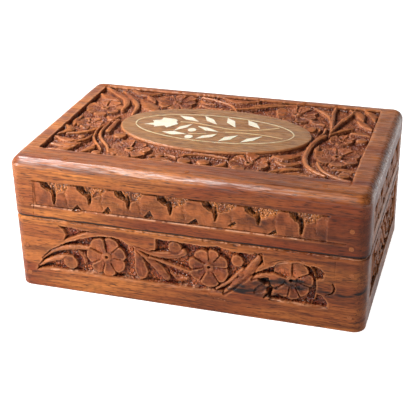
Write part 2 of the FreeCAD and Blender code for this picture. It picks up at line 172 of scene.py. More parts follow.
class Carving:
    """The height of a carved face over a grid, 0 at the sanded face and negative below it, in mm.
    A spine is a line of (u, v, half width)."""

    def __init__(self, u_lines, v_lines, depth, seed):
        self.u, self.v = np.meshgrid(u_lines, v_lines, indexing="ij")
        self.h = np.zeros(self.u.shape)
        self.stains_worn_edges_and_painted_light = np.zeros(self.u.shape)
        self.depth = depth
        self.seed = seed

    def near(self, points, margin):
        """The grid window round some points, as slices."""
        p = np.array(points, float)
        low, high = p[:, :2].min(0) - margin, p[:, :2].max(0) + margin
        i = np.searchsorted(self.u[:, 0], [low[0], high[0]])
        j = np.searchsorted(self.v[0], [low[1], high[1]])
        return slice(i[0], i[1] + 1), slice(j[0], j[1] + 1)

    def along(self, spine, margin):
        """(window, distance inside the edge, signed share of the half width) for a spine."""
        s = spline(spine)
        at = self.near(s, margin + s[:, 2].max())
        u, v = self.u[at], self.v[at]
        inside = np.full(u.shape, -1e9)
        across = np.zeros(u.shape)
        for a, b in zip(s[:-1], s[1:]):
            t, off_u, off_v = along_line(u, v, a, b)
            distance = np.hypot(off_u, off_v)
            width = np.maximum(a[2] + t * (b[2] - a[2]), 1e-3)
            closer = width - distance > inside
            side = np.sign((b[0] - a[0]) * off_v - (b[1] - a[1]) * off_u)
            inside = np.where(closer, width - distance, inside)
            across = np.where(closer, side * np.minimum(distance / width, 1), across)
        return at, inside, across

    def inside_polygon(self, points, margin):
        """(window, distance inside the outline), with negative distances outside."""
        p = np.array(points, float)
        at = self.near(p, margin)
        u, v = self.u[at], self.v[at]
        distance = np.full(u.shape, 1e9)
        odd = np.zeros(u.shape, bool)
        for a, b in zip(p, np.roll(p, -1, 0)):
            t, off_u, off_v = along_line(u, v, a, b)
            distance = np.minimum(distance, np.hypot(off_u, off_v))
            du, dv = b - a
            if abs(dv) > 1e-9:
                crosses = (a[1] > v) != (b[1] > v)
                odd ^= crosses & (u < a[0] + (v - a[1]) * du / dv)
        return at, np.where(odd, distance, -distance)

    def noise(self, at, cell_u, cell_v, part):
        """Noise over a window of the grid, with its own pattern for each board and part."""
        return noise(self.u[at], self.v[at], cell_u, cell_v, self.seed + part)

    def wobble(self, at, size):
        """The uneven edge that a hand-held chisel leaves."""
        return size * self.noise(at, 1.1, 1.1, 5)

    def blend(self, at, share, height):
        """Bring the face to a height, where share is 1."""
        self.h[at] += share * (height - self.h[at])

    def sink(self, points, depth=None, slope=0.5, floor=1.0, rise=0.0):
        """Cut a pocket with an outline down to its punched ground, which can rise to the right.
        floor is how uneven the ground is."""
        depth = self.depth if depth is None else depth
        at, inside = self.inside_polygon(points, 1)
        u, v = self.u[at], self.v[at]
        uneven = 0.16 * self.noise(at, 2.3, 2.3, 1) + 0.1 * self.noise(at, 0.9, 0.9, 2)
        punched = 0.55 * pits(u + 0.45 * v, v, 0.66, 1.05, 0.36, self.seed + 3)
        left, right = min(p[0] for p in points), max(p[0] for p in points)
        to_right = np.clip((u - left) / (right - left), 0, 1)
        ground = -depth + floor * (uneven - punched) + rise * to_right
        self.blend(at, smooth((inside + self.wobble(at, 0.2)) / slope), ground)

    def raise_shape(self, at, inside, height):
        """Leave a shape standing with steep, uneven sides."""
        self.blend(at, smooth((inside + self.wobble(at, 0.17)) / 0.4 + 1), height)

    def land(self, points, run):
        """Sanded wood left standing inside an outline, with a slope of this run round it."""
        at, inside = self.inside_polygon(points, 1.5)
        self.blend(at, smooth(inside / run + 1), 0)

    def blade(self, spine, edge, middle, vein=0.0):
        """A leaf or stem with a ridge along its middle, and a vein cut into the ridge."""
        at, inside, across = self.along(spine, 1)
        height = edge + (middle - edge) * (1 - np.abs(across))
        height -= vein * np.clip(1 - np.abs(across) * 5, 0, 1)
        self.raise_shape(at, inside, height)

    def cut(self, spine, depth, lean=0.0):
        """A V-cut along a spine. lean moves its deepest line to one side, from -1 to 1."""
        at, inside, across = self.along(spine, 0.5)
        v = np.where(across < lean, (across + 1) / (lean + 1), (1 - across) / (1 - lean))
        self.h[at] -= depth * np.where(inside > 0, v, 0)

    def flower(self, u, v, radius, cuts, dish=0.6, rim=-0.1):
        """Petals parted by cuts at these angles in degrees, that slope down to a hub with a drilled eye."""
        at = self.near([(u, v)], radius * 1.15 + 0.8)
        du, dv = self.u[at] - u, self.v[at] - v
        r, angle = np.hypot(du, dv), np.degrees(np.arctan2(dv, du))
        cuts = np.sort(np.array(cuts, float))
        n = len(cuts)
        petal = (np.searchsorted(cuts, angle) - 1) % n
        start = cuts[petal]
        width = (np.roll(cuts, -1)[petal] - start) % 360
        f = ((angle - start) % 360) / width - 0.5
        rng = np.random.default_rng(int(abs(u) * 31 + abs(v) * 17) + self.seed)
        length = rng.uniform(0.93, 1.05, n)[petal]
        lift = rng.uniform(-0.12, 0.08, n)[petal]
        roll = rng.uniform(0.1, 0.8, n)[petal]
        edge = radius * length * (1 - 0.16 * np.abs(2 * f) ** 3)
        gap = r * np.sin(np.radians(np.minimum((0.5 - np.abs(f)) * width, 90)))
        height = rim + lift - roll * (f + 0.5) - 0.2 * (1 - (2 * f) ** 2)
        height -= dish * np.clip(1 - r / radius, 0, 1) ** 1.2
        line = np.clip(1 - gap / 0.42, 0, 1) * smooth((r - radius * 0.28) / 1.2)
        self.raise_shape(at, edge - r, height - 0.7 * line)
        hub_radius = radius * 0.27
        hub = rim - dish * 0.35 - 0.25 * (r / hub_radius) ** 2 - 1.1 * smooth((0.8 - r) / 0.3)
        self.blend(at, smooth((hub_radius - r) / 0.5), hub)

    def bud(self, u, v, radius, height=-0.25):
        """A round bud, highest at its middle."""
        at = self.near([(u, v)], radius + 1)
        r = np.hypot(self.u[at] - u, self.v[at] - v)
        self.raise_shape(at, radius - r, height - 0.35 * (r / radius) ** 2)

    def notch(self, points):
        """A chip cut that is deepest under its top point and runs out to the face at its lowest."""
        at, inside = self.inside_polygon(points, 1)
        ramp = np.clip((self.v[at] - min(v for u, v in points)) / 1.3, 0, 1)
        self.h[at] -= 1.3 * ramp * smooth((inside + self.wobble(at, 0.06)) / 0.4)

    def stain(self, spine, amount):
        """A dark mark along a spine. It serves for streaks in the wood's figure, and for painted shadow and
        shade in the lid's frieze and toward the fronts' right corners.
        """
        at, inside, across = self.along(spine, 1)
        patchy = 0.7 + 0.5 * self.noise(at, 6, 0.9, 31) + 0.3 * self.noise(at, 1.5, 0.5, 32)
        ragged = inside + 0.5 * self.noise(at, 4, 0.8, 33)
        dark = np.clip(amount * smooth(ragged / 0.9) * patchy, 0, 1)
        self.stains_worn_edges_and_painted_light[at] = np.maximum(self.stains_worn_edges_and_painted_light[at], dark)

    def paint_worn_edge_and_highlight(self, spine, amount):
        """A pale, broken line along a spine: a worn edge that is also a painted highlight. It is kept with
        the stains, below 0.
        """
        at, inside, across = self.along(spine, 0.5)
        broken = smooth(0.55 + 1.1 * self.noise(at, 2.4, 3, 35) + 0.7 * self.noise(at, 0.8, 3, 36))
        pale = -amount * smooth((inside + 0.05) / 0.25) * broken
        self.stains_worn_edges_and_painted_light[at] = np.where(self.stains_worn_edges_and_painted_light[at] <= 0, np.minimum(self.stains_worn_edges_and_painted_light[at], pale), self.stains_worn_edges_and_painted_light[at])

    def finish(self):
        """Hand-worked unevenness all over, kept below the pegs and the inlay."""
        everywhere = np.s_[:, :]
        rough = 0.035 * self.noise(everywhere, 6, 6, 7) + 0.03 * self.noise(everywhere, 1.6, 1.3, 8)
        facets = 0.22 * np.abs(self.noise(everywhere, 2.4, 1.7, 9))
        facets += 0.13 * np.abs(self.noise(everywhere, 1.1, 0.7, 10))
        rough -= smooth(-self.h / 0.3) * facets * self.depth / 2
        self.h = np.minimum(self.h + rough - 0.065, 0) - PROUD

    def mark_mesh(self, mesh, steps):
        """Keep depth, edges and the marks (stains, worn edges, painted shadows and highlights) on the
        vertices for the material, which also paints shade from depth and edges. steps is how far edges
        reach.
        """
        # below 0 where the face lies under its surroundings, for painted shade; above 0 on edges, for worn
        # edges and painted highlight
        edges = np.clip((self.h - blurred(self.h, steps)) / 0.35, -2, 2)
        for name, values in (("recess", np.clip(-self.h / self.depth, 0, 1.2)),
                             ("ridge", edges), ("stain", self.stains_worn_edges_and_painted_light)):
            full = np.zeros(len(mesh.vertices))
            full[:values.size] = values.ravel()
            mesh.attributes.new(name, "FLOAT", "POINT").data.foreach_set("value", full)


# ---------------- mesh building

def lines(low, high, fine_low, fine_high, fine, coarse):
    """Grid lines from low to high, close together between fine_low and fine_high."""
    def even(a, b, step):
        return np.linspace(a, b, max(2, int(round((b - a) / step)) + 1)) if b - a > 1e-6 else np.array([a])
    return np.unique(np.round(np.concatenate([
        even(low, fine_low, coarse), even(fine_low, fine_high, fine), even(fine_high, high, coarse)]), 5))


def linked(name, data):
    """A new object in the scene."""
    piece = bpy.data.objects.new(name, data)
    bpy.context.scene.collection.objects.link(piece)
    return piece


def mesh_of(name, verts_mm, faces):
    mesh = bpy.data.meshes.new(name)
    mesh.from_pydata((np.array(verts_mm) * MM).tolist(), [], faces)
    return mesh


def new_object(name, mesh):
    bm = bmesh.new()
    bm.from_mesh(mesh)
    bmesh.ops.recalc_face_normals(bm, faces=bm.faces)
    bm.to_mesh(mesh)
    bm.free()
    mesh.shade_smooth()
    mesh.set_sharp_from_angle(angle=math.radians(50))
    return linked(name, mesh)


def grid_faces(nu, nv):
    i, j = np.meshgrid(np.arange(nu - 1), np.arange(nv - 1), indexing="ij")
    a = (i * nv + j).ravel()
    return np.stack([a, a + nv, a + nv + 1, a + 1], 1).tolist()


def closed_board(name, skin, inner):
    """A closed mesh. skin is its outer face as rows of columns of points, and inner is a (low, high) pair
    of corner points for each of its inner edges, on from the last column and back to the first."""
    nu, nv = skin.shape[:2]
    verts = skin.reshape(-1, 3).tolist()
    columns = [list(range(i * nv, (i + 1) * nv)) for i in range(nu)]
    faces = grid_faces(nu, nv)
    corners = []
    for low, high in inner:
        corners.append([len(verts), len(verts) + 1])
        verts += [list(low), list(high)]
    ring = [columns[-1]] + corners + [columns[0]]
    faces += [a + b[::-1] for a, b in zip(ring[:-1], ring[1:])]
    for end in (0, -1):
        faces.append([column[end] for column in columns + corners])
    return mesh_of(name, verts, faces)


# ---------------- walls

def long_path(s_lines):
    """Points and outward directions round the outside of a front wall, by distance from its middle."""
    turn = CORNER_RADIUS * math.pi / 2
    straight = HALF_L - CORNER_RADIUS
    points, normals = [], []
    for s in s_lines:
        side, over = math.copysign(1, s), abs(s) - straight
        angle = np.clip(over / CORNER_RADIUS, 0, math.pi / 2)
        n = np.array([side * math.sin(angle), -math.cos(angle)])
        corner = np.array([side * straight, -HALF_W + CORNER_RADIUS])
        p = corner + CORNER_RADIUS * n + np.array([0, max(over - turn, 0)])
        if over < 0:
            p[0] = s
        points.append(p)
        normals.append(n)
    return np.array(points), np.array(normals)


def eased(u, v, low, high, radii, seed):
    """How far a face falls back near its lower and upper edges. The larger roundings are worn unevenly."""
    fall = np.zeros(v.shape)
    for distance, radius in zip((v - low, high - v), radii):
        worn = 0.35 if radius > 0.7 else 0.0
        size = radius * (1 + worn * noise(u, v, 3.1, 9, seed) + worn * noise(u, v, 0.9, 9, seed + 1))
        fall += size * np.clip(1 - distance / size, 0, 1)
    return fall


def paint_seam_shadow_worn_edge_and_highlight(c, low, high):
    """Painted shadow along the foot of a lid wall, over the seam. On a base wall, a pale line along its top
    that is a worn edge and a painted highlight.
    """
    if low == SEAM_Z:
        # painted shadow: the foot of the lid wall is darkened as if the seam were in shade
        painted_shadow_top = low + 1.1 + 0.3 * noise(c.u, c.v, 7, 50, c.seed + 40)
        c.stains_worn_edges_and_painted_light = np.where(c.v < painted_shadow_top, np.maximum(c.stains_worn_edges_and_painted_light, smooth((painted_shadow_top - c.v) / 0.25)), c.stains_worn_edges_and_painted_light)
        c.stains_worn_edges_and_painted_light[:, 0] = 0
    else:
        half = c.u[-1, 0]
        # a pale, broken line: worn edge and painted highlight
        c.paint_worn_edge_and_highlight([(-half, high - 0.4, 0.2), (half, high - 0.4, 0.2)], 0.6)


def wall_path(u_lines, long_side):
    """The outer face's points and outward directions, and the inner corners that close the wall."""
    if long_side:
        return *long_path(u_lines), []
    points = np.stack([np.full(len(u_lines), HALF_L), u_lines], 1)
    normals = np.tile([1.0, 0.0], (len(u_lines), 1))
    return points, normals, [(HALF_L - WALL, END_HALF), (HALF_L - WALL, -END_HALF)]


def back_bevel(v, low, high, normals):
    """How far a back wall falls back to its bevel, which lets the lid open."""
    to_seam = (v - low) if low == SEAM_Z else (high - v)
    return np.clip(BEVEL_RUN * (1 - to_seam / BEVEL_RISE), 0, None) * np.abs(normals[:, 1:])


def wall(name, carve, long_side, turned, low, high, seed, radii):
    """A carved wall. It is drawn as a front or right wall, and can be turned to the back or left."""
    if long_side:
        half = HALF_L - CORNER_RADIUS + CORNER_RADIUS * math.pi / 2 + WALL - CORNER_RADIUS
        carved_half = 66.5
    else:
        half = END_HALF
        carved_half = END_HALF - 0.4
    rounded = 0.9
    u_lines = lines(-half, half, -carved_half, carved_half, WALL_STEP, 0.8)
    v_lines = lines(low, high, low + rounded, high - rounded, WALL_STEP, 0.15)
    c = Carving(u_lines, v_lines, LID_DEPTH if low == SEAM_Z else BASE_DEPTH, seed)
    carve(c)
    c.finish()
    paint_seam_shadow_worn_edge_and_highlight(c, low, high)
    points, normals, corners = wall_path(u_lines, long_side)
    fall = eased(c.u, c.v, low, high, radii, seed + 20)
    if turned and long_side:
        bevel = back_bevel(c.v, low, high, normals)
        fall = np.maximum(fall * (bevel < 0.01), bevel)
    facing = -1 if turned else 1
    at = facing * (points[:, None, :] + normals[:, None, :] * (c.h - fall)[..., None])
    inner = [[(facing * x, facing * y, z) for z in (low, high)] for x, y in corners]
    mesh = closed_board(name, np.dstack([at, c.v]), inner)
    c.mark_mesh(mesh, 3)
    return new_object(name, mesh)


def block_mesh(low, high):
    x, y, z = zip(low, high)
    verts = [(a, b, c) for a in x for b in y for c in z]
    return verts, [(0, 1, 3, 2), (4, 6, 7, 5), (0, 4, 5, 1), (2, 3, 7, 6), (0, 2, 6, 4), (1, 5, 7, 3)]


def rod_mesh(centre, radius, low, high, sides=32):
    """A rod along X."""
    ring = [(math.cos(a) * radius, math.sin(a) * radius) for a in np.arange(sides) * 2 * math.pi / sides]
    verts = [(x, centre[1] + b, centre[2] + c) for x in (low, high) for b, c in ring]
    faces = [(i, (i + 1) % sides, (i + 1) % sides + sides, i + sides) for i in range(sides)]
    return verts, faces + [tuple(range(sides))[::-1], tuple(range(sides, 2 * sides))]


def take_away(piece, cutter):
    """Cut one object out of another and delete it."""
    change = piece.modifiers.new("seat", "BOOLEAN")
    change.object, change.operation, change.solver = cutter, "DIFFERENCE", "MANIFOLD"
    bpy.context.view_layer.update()
    result = piece.evaluated_get(bpy.context.evaluated_depsgraph_get())
    cut_mesh = bpy.data.meshes.new_from_object(result)
    piece.modifiers.clear()
    piece.data = cut_mesh
    bpy.data.objects.remove(cutter)


def cut_hinge_seats(piece, leaf_nodes):
    """Cut room for the hinge leaves and knuckles into the edge of a back wall."""
    side_room, leaf_room, knuckle_radius, knuckle_room = 0.1, 1.0, 1.85, 0.5
    for leaf in leaf_nodes:
        low, high = box_mm(leaf)
        for shape in (block_mesh((low[0] - side_room, low[1] - side_room, SEAM_Z - leaf_room),
                                 (high[0] + side_room, PIVOT.y, SEAM_Z + leaf_room)),
                      rod_mesh(PIVOT, knuckle_radius, low[0] - knuckle_room, high[0] + knuckle_room)):
            take_away(piece, new_object("seat", mesh_of("seat", *shape)))


# ---------------- lid panel

def rounded_outline(inset, t):
    """A point of the panel's outline, by t from 0 to 4 with whole numbers at the middles of its corners."""
    a, b = HALF_L - inset, HALF_W - inset
    r = max(CORNER_RADIUS - inset, 0.7)
    side, f = int(t) % 4, t - int(t)
    half_a, half_b = (a, b) if side % 2 == 0 else (b, a)
    arc, straight = r * math.pi / 4, 2 * (half_a - r)
    s = f * (2 * arc + straight)
    if s < arc:
        angle = math.pi / 4 * (1 - s / arc)
        p = (-half_a + r - r * math.sin(angle), -half_b + r - r * math.cos(angle))
    elif s > arc + straight:
        angle = math.pi / 4 * (s - arc - straight) / arc
        p = (half_a - r + r * math.sin(angle), -half_b + r - r * math.cos(angle))
    else:
        p = (-half_a + r + s - arc, -half_b)
    for _ in range(side):
        p = (-p[1], p[0])
    return p


def panel_border(u_lines, v_lines):
    """The grid's border vertices in order, and where on the outline each one is drawn to."""
    nu, nv = len(u_lines), len(v_lines)
    fu = (u_lines - u_lines[0]) / (u_lines[-1] - u_lines[0])
    fv = (v_lines - v_lines[0]) / (v_lines[-1] - v_lines[0])
    border = [(i * nv, fu[i]) for i in range(nu - 1)]
    border += [((nu - 1) * nv + j, 1 + fv[j]) for j in range(nv - 1)]
    border += [(i * nv + nv - 1, 3 - fu[i]) for i in range(nu - 1, 0, -1)]
    border += [(j, 4 - fv[j]) for j in range(nv - 1, 0, -1)]
    return [k for k, t in border], [t for k, t in border]


def panel_edge(step, t):
    """A point of the panel's edge. step is 0 at the top face, 1 where the side starts and 2 at its foot."""
    # 1 along the front, where the edge is a bevel, and 0 where it is a plain quarter round
    front = smooth(1 - (max(t - 1, 0) if t < 2 else 4 - t) * 11)
    down = min(step, 1)
    angle = down * math.pi / 2
    inset = front * FRONT_RUN * (1 - down) ** 1.25 + (1 - front) * EDGE_RADIUS * (1 - math.sin(angle))
    z = TOP_Z - front * FRONT_DROP * down ** 1.25 - (1 - front) * EDGE_RADIUS * (1 - math.cos(angle))
    if step > 1:
        z += (PANEL_LOW[2] - z) * (step - 1)
    return *rounded_outline(inset, t), z


def panel_ring(step, outline):
    """One ring of points round the panel's edge, a little uneven above its foot."""
    x, y, z = np.array([panel_edge(step, t) for t in outline]).T
    rough = 0.06 * noise(x, y, 9, 5, 61) + 0.02 * noise(x, z, 4, 0.7, 62)
    if step < 2:
        x *= 1 - (0.001 + 0.0006 * rough)
        y *= 1 - (0.001 + 0.002 * np.abs(rough))
        if step > 0:
            z += np.minimum(rough, 0.06) - 0.06
    return np.stack([x, y, z], 1)


def lid_panel():
    """The thick lid panel: its carved top, rounded edges and the glossy bevel along its front."""
    flat_left, flat_right, flat_front, flat_back = -70.5, 70.5, -43.6, 43.4
    carved_left, carved_right, carved_front, carved_back = -67.9, 65.9, -35.3, 42.9
    u_lines = lines(flat_left, flat_right, carved_left, carved_right, TOP_STEP, PLAIN_STEP)
    v_lines = lines(flat_front, flat_back, carved_front, carved_back, TOP_STEP, PLAIN_STEP)
    c = Carving(u_lines, v_lines, TOP_DEPTH, TOP_SEED)
    carve_top(c)
    c.finish()
    verts = np.dstack([c.u, c.v, TOP_Z + c.h]).reshape(-1, 3).tolist()
    faces = grid_faces(len(u_lines), len(v_lines))
    ring, outline = panel_border(u_lines, v_lines)
    face_height = c.h.ravel()[ring]
    for step in [k / 9 for k in range(10)] + [1.15, 1.5, 2]:
        points = panel_ring(step, outline)
        if step == 0:
            points[:, 2] += face_height
        new = list(range(len(verts), len(verts) + len(points)))
        verts += points.tolist()
        faces += zip(ring, ring[1:] + ring[:1], new[1:] + new[:1], new)
        ring = new
    faces.append(ring)
    mesh = mesh_of("lid_panel", verts, faces)
    c.mark_mesh(mesh, 2)
    return new_object("lid_panel", mesh)


# ---------------- carving of the faces

def ellipse(cu, cv, ru, rv, n=72):
    return [(cu + ru * math.cos(a), cv + rv * math.sin(a)) for a in np.arange(n) * 2 * math.pi / n]


def carve_top(c):
    """The lid's top: flowers and scrolling stems round the flat oval, inside a plain frame."""
    c.sink([(-67.4, 42.4), (-20, 42.2), (25, 42.5), (65.3, 42.0), (65.6, 10), (65.0, -12), (65.4, -34.7),
            (20, -34.4), (-20, -34.8), (-66.8, -34.5), (-67.2, -5), (-67.6, 18)])
    stems = [
        [(-67, 42, .8), (-60, 36, 1.5), (-53, 30, 1.6), (-50, 24, 1.4), (-49, 16, .8)],
        [(-57, 38.5, .7), (-50, 31, 1.4), (-45.5, 25, 1.3), (-43.5, 20, 1.1), (-42.5, 12, .7)],
        [(-46.3, 4, 1.0), (-46, -9, 1.2)],
        [(-49, 1, .6), (-48.6, -10, .7), (-46, -17, .8), (-40.5, -24, .8), (-37, -30, .6)],
        [(-51, -2, .4), (-50.6, -11, .5), (-48.3, -18.6, .5), (-43.3, -25.6, .5), (-41, -29, .4)],
        [(-49.5, -1, .5), (-52, -8, .8), (-56, -13, .8), (-62, -16, .5)],
        [(-50.5, -14, .4), (-51.5, -19, .7), (-55, -24, .5)],
        [(-19, -29.5, .4), (-12, -27.4, .5), (-8, -29, .4)],
        [(-6, -26, .4), (-2, -23.8, .5), (5, -23.2, .5), (12.6, -24.4, .4)],
        [(-18, 40, .5), (-10, 37.5, .7), (-2, 33, .6), (2.5, 26.5, .5)],
        [(-1, 28, .5), (9, 33, .8), (19, 38, .8), (27, 40.5, .5)],
        [(9, 35.5, .5), (20, 40.5, .6)],
        [(36, 39, .7), (43, 32, 1.0), (46.3, 25, 1.0), (48, 15, .7)],
        [(45, 42, .8), (45, 35, 1.0), (46, 28, 1.0), (47, 21, .7)],
        [(48, 14, .6), (50, 25, 1.0), (53, 35, .9), (54, 41.5, .5)],
        [(48, 10, .5), (52, 15.5, .8), (56.5, 19, .5)],
        [(45.2, 17, .5), (45.4, 12, .6), (44.6, 8, .6), (43.2, 3, .5)],
        [(46.5, 9, .9), (43.3, 1, 1.1), (42.4, -8, 1.1), (42.8, -15, 1.1), (44.8, -22, 1.0), (48.5, -27, .9),
         (54, -31, .6)],
        [(48.5, -19, .5), (52, -26, .9), (58, -31, .9), (65, -34, .5)],
    ]
    leaves = [
        [(-44.5, 30, .8), (-38.5, 23.5, 3.4), (-32.5, 17.5, 1.2)],
        [(-53, 41, .6), (-46, 38, 2.3), (-39, 40.5, .6)],
        [(-44, 36, .5), (-40.5, 32.5, 1.7), (-37.5, 28, .5)],
        [(-66.5, 33, .5), (-61, 29.5, 2.2), (-55, 27, .6)],
        [(-66.5, -7, .6), (-63, -11, 1.9), (-66, -17, .5)],
        [(-64, 4.5, .6), (-64.5, -1, 1.3), (-63.5, -5, .5)],
        [(-52.5, 7, .5), (-49.5, 4.5, 1.6), (-47.5, 8, .5)],
        [(-52, -24, .5), (-57, -27, 2.3), (-64, -28, .7)],
        [(-53, -27.5, .5), (-57, -31.5, 1.9), (-63, -33.4, .5)],
        [(-55, -21.5, .4), (-60, -22, 1.8), (-66, -20, .5)],
        [(-48.5, -33.5, .4), (-46.5, -29, 1.6), (-45.5, -24.5, .5)],
        [(-19.5, -33.5, .5), (-14, -31.2, 1.6), (-8.5, -33, .5)],
        [(-16, 30, .5), (-10, 28.2, 1.3), (-4.5, 27.5, .5)],
        [(-8.5, 41.8, .5), (0, 39.4, 1.9), (9, 41.8, .5)],
        [(-17.5, 36, .4), (-14, 33.4, 1.3), (-9.5, 33, .4)],
        [(51.5, 41, .4), (56.5, 37, 2.1), (59.3, 29.5, .6)],
        [(58.5, 41.5, .5), (62.5, 37, 1.8), (64.3, 30.5, .5)],
        [(57, 28.5, .5), (60.5, 25, 1.9), (64.5, 20, .5)],
        [(36.5, 25, .4), (39.5, 22.5, 1.7), (44, 20.5, .4)],
        [(35.5, 18.5, .4), (36.5, 15.4, 1.3), (36.8, 12.6, .4)],
        [(56.5, 14.5, .4), (61, 14.8, 1.6), (64.8, 12.8, .4)],
        [(46, -2.5, .4), (45.8, -6.5, 1.2), (46.8, -10.5, .4)],
        [(29.8, -17.4, .6), (35, -16.6, 2.4), (40.5, -13.8, .8)],
        [(32, -21.8, .5), (37, -23.8, 1.8), (42, -21.8, .5)],
        [(32, -32.4, .5), (37.5, -28.2, 1.7), (43.5, -26.8, .4)],
        [(37, -33.6, .5), (43, -31.2, 1.5), (49, -33.2, .4)],
        [(55.5, -24.2, .4), (60, -23.4, 1.4), (64.5, -24.6, .4)],
        [(9, -33.6, .4), (12.2, -30.4, 1.2), (12.8, -27, .4)],
    ]
    for spine in leaves:
        c.blade(spine, -0.75, -0.2, vein=0.3)
    for spine in stems:
        c.blade(spine, -0.55, -0.1)
    for u, v, r in [(-39, -12.2, 2.7), (-42, -32, 2), (-15.5, -27.6, 2), (-4, -30.6, 2.7), (4, -29.8, 2.7),
                    (61, -28.6, 2.3), (62.2, 7.6, 2.3), (-54.8, -17.5, 1.6), (50.5, 29, 1.1)]:
        c.bud(u, v, r)
    for u, v, r, n, turn in [(-58, 17, 8.7, 7, 0.3), (-57.3, -1.8, 6, 6, 0.9), (-30, -24.6, 9, 7, 0.2),
                             (-27.8, 32, 9.3, 8, 0.5), (29, 30.6, 9.6, 8, 0.1), (22, -26, 8.4, 7, 0.7),
                             (55.2, -11, 9.2, 7, 0.4), (53.8, 6.8, 5.3, 6, 0.0)]:
        c.flower(u, v, r, np.arange(n) * 360 / n - 180 + 57 * turn, dish=0.9, rim=-0.25)
    c.bud(40.2, 14.6, 3.2, height=-0.15)
    c.cut([(41.6, 15.4, .3), (42, 13, 1.1), (40.8, 11.6, .3)], 1.3)
    c.land(ellipse(*OVAL), run=1.0)
    c.cut([(65, -34.9, .1), (65.4, -36.5, .25), (65, -38.5, .1)], 0.5)


def carve_long_base(c):
    """The base's front and back: three flowers between scrolling leaves."""
    c.sink([(-65.6, 8.7), (-60, 9.8), (-30, 9.5), (0, 9.9), (19, 10.2), (22, 13), (29, 19.4), (33.5, 17.2),
            (36.4, 10.2), (44, 10), (53, 9.9), (54.8, 13), (55.3, 17), (55.2, 21.6), (54.2, 25.6),
            (52.6, 27.6), (50, 28.3), (46, 28.2), (40, 26.6), (34.6, 24), (30.6, 21.6), (31.4, 23.6),
            (33.8, 26), (32.6, 29.8), (21, 29.8), (14.5, 31.2), (8, 30.4), (0, 30.9), (-11.3, 30.9),
            (-11.6, 25.9), (-15, 24.9), (-20, 25.4), (-24, 26.6), (-27, 28.4), (-31, 29), (-38, 28.3),
            (-45, 26.1), (-52, 23.3), (-60.6, 18), (-64.6, 11.6), (-66.4, 8.2)])
    c.sink([(-54.8, 31.2), (-49, 30.8), (-40.4, 30.2), (-44.5, 28.2), (-50, 25.8), (-53.2, 24), (-51.2, 27),
            (-52.4, 29.4)], depth=1.3)
    c.sink([(52.8, 28.2), (54.2, 25.4), (55.2, 22.2), (57.8, 22.8), (58.4, 25.4), (56.4, 27.6)], depth=1.6)
    c.sink([(53, 10), (59.6, 9.9), (60, 12), (57.8, 15), (55.4, 15.8), (54.6, 13)], depth=1.6)
    blades = [
        ([(-63, 14.4, .4), (-57.5, 18.6, .8), (-50.5, 21.0, 1.1), (-41.5, 21.9, .8)], -0.7, -0.1, .1),
        ([(-65.2, 10.4, .4), (-60, 13.6, .9), (-54, 15.8, 1.0), (-49.6, 16.4, .7)], -0.5, -0.1, 0),
        ([(-46.6, 20, .5), (-44.6, 17.4, 1.0), (-43.8, 14, .5)], -1.3, -0.9, 0),
        ([(-20.6, 25.4, .8), (-19.4, 20, 1.8), (-18.6, 14.6, 2.9), (-18.4, 12.4, 1.8)], -0.6, -0.15, .2),
        ([(-21, 25.2, .5), (-16.6, 21.2, .8), (-11.6, 17.6, 1.7), (-7.4, 13.0, 1.5)], -0.8, -0.15, .2),
        ([(-21, 25.6, .6), (-12, 23.4, 1.1), (-4, 24.2, 1.5), (0.4, 26, 1.3)], -0.5, -0.05, 0),
        ([(-14.5, 21.4, .4), (-8, 19.9, .6), (3, 17.2, .5)], -0.6, -0.3, 0),
        ([(-5.6, 15.4, .4), (-2.2, 13.2, 1.3), (1.6, 13.6, .5)], -1.2, -0.8, 0),
        ([(17.4, 9.9, .7), (22.8, 15.2, 1.3), (28.6, 22.6, 1.7), (32.6, 29.6, .9)], -0.7, -0.05, .2),
        ([(14, 11, .4), (20, 15.8, .7), (25.2, 22, .5)], -0.7, -0.3, 0),
        ([(29.4, 18.4, .5), (34, 20.5, 1.0), (39.8, 20.8, .5)], -0.6, -0.2, 0),
        ([(30.4, 12.4, .4), (32.6, 14.4, 1.5), (35.6, 16.2, .4)], -0.5, -0.2, 0),
        ([(37.4, 12, .4), (39.2, 14.2, 1.4), (41.6, 14.6, .4)], -0.5, -0.2, 0),
    ]
    for spine, edge, middle, vein in blades:
        c.blade(spine, edge, middle, vein=vein)
    for u, v, r in [(-50.6, 13.8, 3.2), (-3.4, 27.6, 2.8), (22.9, 25.4, 2.5), (24.4, 19.4, 1.2)]:
        c.bud(u, v, r)
    c.flower(-33.8, 18.7, 9.0, [-150, -107, -60, -5, 45, 95, 155])
    c.flower(10.9, 20.7, 8.8, [-162, -118, -58, 4, 52, 92, 150])
    c.flower(45.0, 19.8, 9.0, [-142, -100, -62, -14, 30, 88, 160])
    c.cut([(-64, 12.6, .2), (-58, 17.0, .6), (-51, 19.4, .5)], 0.6)
    for start, end in [(-60, -46), (-43, -38), (-31, -20), (-15, -2), (1, 17), (36, 41), (44, 49), (51, 60)]:
        c.cut([(start, 9.9, .3), ((start + end) / 2, 9.6, .9), (end, 9.9, .3)], 0.7, lean=0.6)
    for spine, depth in [
        ([(-50, 26.2, .3), (-42, 29.3, .5), (-32, 30.6, .2)], 0.3),
        ([(-57.6, 24.2, .3), (-53.6, 24.3, .3)], 0.25),
        ([(61.6, 21.4, .2), (62.4, 19.0, .5), (61.6, 16.8, .4), (59.2, 15.8, .2)], 1.0),
        ([(36, 26.8, .2), (42, 29.0, .4), (50, 29.9, .2)], 0.3),
        ([(30.2, 30.6, .2), (32.6, 29.2, .6), (33.8, 25.8, .3)], 0.9),
        ([(34, 10.4, .3), (35.8, 12.6, .9), (37, 14, .4)], 1.2),
        ([(62.4, 31.4, .12), (62.3, 10, .12)], 0.25),
        ([(10, 9.6, .2), (13.4, 6.6, .25)], 0.25),
    ]:
        c.cut(spine, depth)


